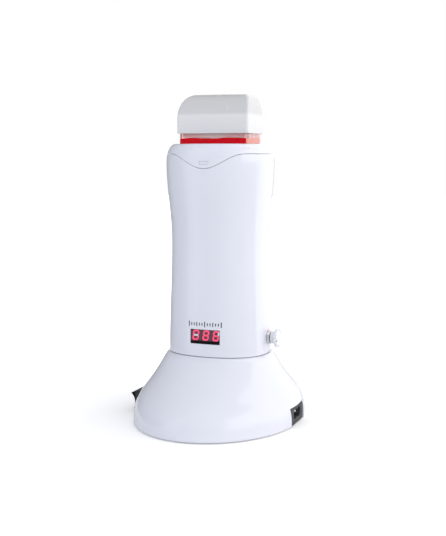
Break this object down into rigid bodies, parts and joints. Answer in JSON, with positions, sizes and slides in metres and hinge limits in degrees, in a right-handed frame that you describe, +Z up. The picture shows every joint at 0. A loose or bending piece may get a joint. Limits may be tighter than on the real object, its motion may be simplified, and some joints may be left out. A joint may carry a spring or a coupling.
{
  "type": "roll-on wax heater",
  "caption": "Upright wax heater handset in an oval charging base, with a rocker switch, mains inlet, temperature dial, display and a capped roll-on wax cartridge.",
  "frame": {"origin": "on the table under the handset's centre line", "axes": "+X right of the display, +Y to the back, +Z up along the handset"},
  "size_m": [0.1321, 0.158, 0.244],
  "materials": {
    "white_gloss": "glossy cool white moulding",
    "white_inner": "plain white moulding",
    "dark_rubber": "matt rubber",
    "screw_steel": "zinc plated",
    "black_plastic": "fine satin",
    "black_gloss": "polished black",
    "plated_brass": "bright plated",
    "plated_steel": "bright nickel",
    "indicator_clear": "clear pale lens",
    "red_lamp": "diffused red",
    "well_aluminium": "drawn aluminium",
    "heater_ceramic": "dark fired coating",
    "pad_fibre": "pressed fibre",
    "cutout_black": "moulded satin",
    "tray_plastic": "heat-resisting moulding",
    "green_board": "lacquered laminate",
    "knob_white": "glossy white moulding",
    "cartridge_clear": "translucent frosted moulding",
    "red_wax": "deep red, slightly translucent",
    "head_white": "white moulding",
    "cap_pearl": "pearly translucent white"
  },
  "bodies": {
    "base": {"base_shell": "white_gloss", "base_plate": "white_inner", "rubber_feet": "dark_rubber", "base_screws": "screw_steel", "dock_cup": "white_inner", "contact_block": "black_plastic", "contact_pins": "plated_brass", "power_inlet": "black_plastic", "inlet_pins": "plated_steel", "switch_body": "black_plastic", "switch_blades": "plated_steel"},
    "rocker": {"power_rocker": "black_gloss"},
    "handset": {"front_shell": "white_gloss", "rear_shell": "white_gloss", "top_cover": "white_gloss", "indicator_lens": "indicator_clear", "indicator_lamp": "red_lamp", "bottom_cap": "white_inner", "socket_block": "black_plastic", "socket_sleeves": "plated_brass", "heat_well": "well_aluminium", "heater_plates": "heater_ceramic", "insulation_pads": "pad_fibre", "pressure_plates": "plated_steel", "clamp_screws": "screw_steel", "temperature_probe": "plated_steel", "thermal_cutout": "cutout_black", "well_tray": "tray_plastic", "control_board": "green_board", "board_parts": "cutout_black", "display_module": "black_gloss", "board_screws": "screw_steel", "dial_control": "cutout_black", "dial_nut": "plated_steel", "shell_screws": "screw_steel"},
    "dial": {"dial_spindle": "plated_steel", "temperature_knob": "knob_white"},
    "cartridge": {"cartridge_body": "cartridge_clear", "wax": "red_wax", "roller_head": "head_white"},
    "roller": {"wax_roller": "head_white"},
    "cap": {"cartridge_cap": "cap_pearl"}
  },
  "joints": [
    {"name": "handset_lift", "type": "slide", "parent": "base", "child": "handset", "axis": [0, 0, 1], "range_m": [0, 0.06]},
    {"name": "cartridge_lift", "type": "slide", "parent": "handset", "child": "cartridge", "axis": [0, 0, 1], "range_m": [0, 0.09]},
    {"name": "cap_lift", "type": "slide", "parent": "cartridge", "child": "cap", "axis": [0, 0, 1], "range_m": [0, 0.045]},
    {"name": "roller_spin", "type": "hinge", "parent": "cartridge", "child": "roller", "pos_m": [0, 0.0026, 0.2295], "axis": [1, 0, 0], "continuous": true},
    {"name": "dial_turn", "type": "hinge", "parent": "handset", "child": "dial", "pos_m": [0.044, 0, 0.064], "axis": [1, 0, 0], "range_deg": [-150, 150]},
    {"name": "rocker_tilt", "type": "hinge", "parent": "base", "child": "rocker", "pos_m": [-0.0635, 0, 0.01], "axis": [0, 1, 0], "range_deg": [0, 20]}
  ]
}
